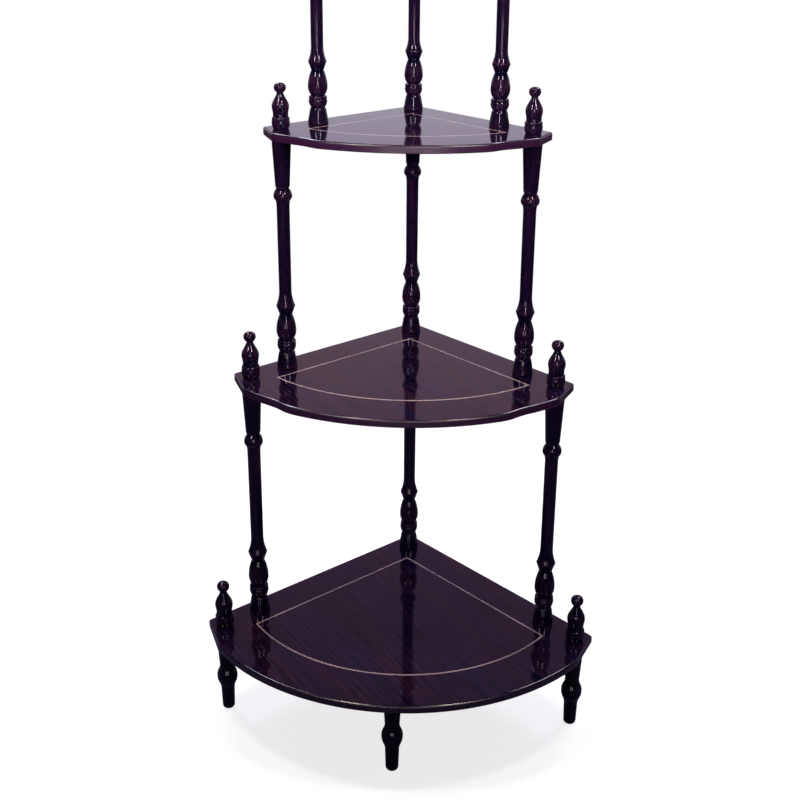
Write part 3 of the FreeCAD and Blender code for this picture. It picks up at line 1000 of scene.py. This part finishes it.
@dataclass(frozen=True)
class View:
    """Camera that looks down at the shelf, in metres, radians and millimetres of film."""

    place: tuple[float, float, float] = (0.0842, -1.4127, 1.0192)
    yaw: float = 0.06212
    pitch: float = 0.36483
    roll: float = 0.00744
    film: float = 36.0
    lens: float = 56.06
    shift: float = -0.05

    def set_up(self, scene: bpy.types.Scene) -> None:
        """Place the camera where the picture was taken from.

        Args:
            scene: Scene that gets the camera.
        """
        up = Vector((0.0, 0.0, 1.0))
        ahead = Vector((-math.sin(self.yaw), math.cos(self.yaw), 0.0))
        right = Vector((math.cos(self.yaw), math.sin(self.yaw), 0.0))
        look = math.cos(self.pitch) * ahead - math.sin(self.pitch) * up
        above = math.sin(self.pitch) * ahead + math.cos(self.pitch) * up
        across = math.cos(self.roll) * right + math.sin(self.roll) * above
        upright = math.cos(self.roll) * above - math.sin(self.roll) * right
        data = bpy.data.cameras.new("view")
        data.sensor_width = self.film
        data.lens = self.lens
        data.shift_y = self.shift
        data.dof.use_dof = False
        camera = bpy.data.objects.new("view", data)
        turn = Matrix((across, upright, -look)).transposed().to_4x4()
        camera.matrix_world = Matrix.Translation(self.place) @ turn
        scene.collection.objects.link(camera)
        scene.camera = camera


@dataclass
class Studio:
    """Pale floor, soft lamps, white surround and the camera."""

    view: View = View()
    floor_reach: float = 1.5
    floor_even: float = 0.55
    floor_sides: int = 96
    floor_pale: str = "B4B4B4"
    floor_dim: str = "4A4866"
    floor_lift: float = 0.80      # glow of the floor to the eye, so that its paper is white
    floor_mirrored: float = 0.03  # the same in reflections
    white: str = "FFFFFF"
    room: str = "B0A8FF"
    ambient: float = 0.15
    backdrop_span: tuple[float, float] = (-0.2, 0.8)   # upward share of a way over which the backdrop is graded
    backdrop: tuple[tuple[float, str], ...] = (
        (0.10, "3F3C45"), (0.19, "FFFFFF"), (0.32, "F6F1FD"), (0.39, "DFD3EA"), (0.54, "BE9DAF"), (0.70, "8E7390"),
        (1.0, "453859"))
    behind_span: tuple[float, float] = (0.2, 0.75)     # backward share of a way over which the backdrop sets in
    front: float = 0.08           # strength of the backdrop's colours in front of the shelf
    lamps: tuple[Softbox, ...] = (
        Softbox("middle_strip", (0.2, -1.75, 1.25), 1.25, (0.06, 0.9), 2.2, Light.STRIP, 60.0),
        Softbox("left_lamp", (-0.95, -1.25, 1.3), 0.97, (0.16, 0.5), 2.3, Light.FILL, 48.0, Reach.FILL),
        Softbox("right_lamp", (1.0, -1.2, 1.3), 0.97, (0.16, 0.5), 2.1, Light.FILL, 48.0, Reach.FILL),
        Softbox("high_left_lamp", (-0.9, -0.4, 4.0), 0.6, (0.4, 0.4), 44.0, Light.HIGH),
        Softbox("high_right_lamp", (0.9, -0.4, 4.0), 0.6, (0.4, 0.4), 37.0, Light.HIGH),
        Softbox("back_left_lamp", (-0.8, 1.2, 2.0), 0.6, (0.5, 0.5), 14.0, Light.BACK),
        Softbox("back_right_lamp", (0.8, 1.2, 2.0), 0.6, (0.5, 0.5), 14.0, Light.BACK),
        Softbox("left_glint", (-0.85, -1.35, 1.65), 0.7, (0.1, 0.3), 12.0, Light.GLINT, reach=Reach.GLINT),
        Softbox("right_glint", (0.9, -1.3, 1.65), 0.7, (0.1, 0.3), 12.0, Light.GLINT, reach=Reach.GLINT),
        Softbox("upper_left_glint", (-0.8, -1.2, 2.2), 0.8, (0.1, 0.3), 16.0, Light.GLINT, reach=Reach.GLINT),
        Softbox("upper_right_glint", (0.85, -1.15, 2.2), 0.8, (0.1, 0.3), 16.0, Light.GLINT, reach=Reach.GLINT),
        Softbox("low_left_lamp", (-0.3, -1.9, 0.5), 0.2, (0.1, 0.4), 3.0, Light.LOW, reach=Reach.GLINT),
        Softbox("low_right_lamp", (0.4, -1.9, 0.5), 0.2, (0.1, 0.4), 3.0, Light.LOW, reach=Reach.GLINT),
    )

    def build(self) -> None:
        """Set up everything that is not part of the shelf."""
        scene = bpy.context.scene
        scene.view_settings.view_transform = "Standard"
        self._floor()
        self._surround(scene)
        for lamp in self.lamps:
            lamp.hang()
        self.view.set_up(scene)

    @staticmethod
    def _rays(tree: bpy.types.NodeTree) -> tuple[Any, Any]:
        """Tell the eye's rays from mirrored and refracted ones.

        Args:
            tree: Node tree that gets the nodes.

        Returns:
            The output sockets that are one for the eye's rays and for mirrored or refracted rays.
        """
        path = add_node(tree, "ShaderNodeLightPath").outputs
        sharp = add_node(tree, "ShaderNodeMath", {0: path["Is Glossy Ray"], 1: path["Is Transmission Ray"]},
                         operation="MAXIMUM")
        return path["Is Camera Ray"], sharp.outputs[0]

    def _floor(self) -> None:
        """Lay a pale floor that runs out into the white surround."""
        bpy.ops.mesh.primitive_circle_add(vertices=self.floor_sides, radius=self.floor_reach, fill_type="NGON")
        floor = bpy.context.object
        floor.name = "studio_floor"
        material = bpy.data.materials.new("matt_paper_floor")
        material.use_nodes = True
        tree = material.node_tree
        tree.nodes.clear()
        place = add_node(tree, "ShaderNodeTexCoord")
        away = add_node(tree, "ShaderNodeVectorMath", {0: place.outputs["Object"]}, operation="LENGTH")
        fade = remap(tree, away.outputs["Value"], (self.floor_even, self.floor_reach),
                     interpolation_type="SMOOTHSTEP")
        eye, sharp = self._rays(tree)
        tone = mix_colours(tree, eye, linear(self.floor_dim), linear(self.floor_pale))
        paper = add_node(tree, "ShaderNodeBsdfDiffuse", {"Color": tone})
        part = add_node(tree, "ShaderNodeMath", {0: sharp, 1: self.floor_mirrored}, operation="MULTIPLY")
        seen = add_node(tree, "ShaderNodeMath", {0: eye, 1: self.floor_lift, 2: part.outputs[0]},
                        operation="MULTIPLY_ADD")
        lift = add_node(tree, "ShaderNodeEmission", {"Color": linear(self.white), "Strength": seen.outputs[0]})
        lit = add_node(tree, "ShaderNodeAddShader", {0: paper.outputs[0], 1: lift.outputs[0]})
        clear = add_node(tree, "ShaderNodeBsdfTransparent")
        mixed = add_node(tree, "ShaderNodeMixShader", {0: fade, 1: lit.outputs[0], 2: clear.outputs[0]})
        add_node(tree, "ShaderNodeOutputMaterial", {"Surface": mixed.outputs[0]})
        floor.data.materials.append(material)

    def _surround(self, scene: bpy.types.Scene) -> None:
        """Make the surround: white to the eye, and in reflections a white backdrop that darkens upwards.

        Args:
            scene: Scene that gets the surround.
        """
        world = bpy.data.worlds.new("studio_surround")
        scene.world = world
        world.use_nodes = True
        tree = world.node_tree
        tree.nodes.clear()
        place = add_node(tree, "ShaderNodeTexCoord")
        way = add_node(tree, "ShaderNodeSeparateXYZ", {0: place.outputs["Generated"]}).outputs
        ramp = add_node(tree, "ShaderNodeValToRGB", {"Fac": remap(tree, way["Z"], self.backdrop_span)})
        set_ramp(ramp, ((position, linear(code)) for position, code in self.backdrop))
        behind = remap(tree, way["Y"], self.behind_span, (self.front, 1.0), interpolation_type="SMOOTHSTEP")
        backdrop = add_node(tree, "ShaderNodeBackground", {"Color": ramp.outputs["Color"], "Strength": behind})
        room = add_node(tree, "ShaderNodeBackground", {"Color": linear(self.room), "Strength": self.ambient})
        white = add_node(tree, "ShaderNodeBackground", {"Color": linear(self.white), "Strength": 1.0})
        eye, sharp = self._rays(tree)
        mirrored = add_node(tree, "ShaderNodeMixShader", {0: sharp, 1: room.outputs[0], 2: backdrop.outputs[0]})
        seen = add_node(tree, "ShaderNodeMixShader", {0: eye, 1: mirrored.outputs[0], 2: white.outputs[0]})
        add_node(tree, "ShaderNodeOutputWorld", {"Surface": seen.outputs[0]})


def main() -> None:
    """Build and dress the shelf, then the studio around it."""
    logging.basicConfig(level=logging.INFO, format="%(name)s: %(message)s")
    stud = PlatedSteel("zinc_plated_stud_steel")
    screw = PlatedSteel("bronzed_screw_steel", bright="A59C8B", dull="857B6B")
    Boards(BoardLacquer().material(), InlayLine().material(), stud.material()).dress()
    TurnedWork(LatheTree(), TurnedLacquer().material()).build()
    CrossHeadScrews(screw.material()).build()
    Studio().build()


if __name__ == "__main__":
    main()
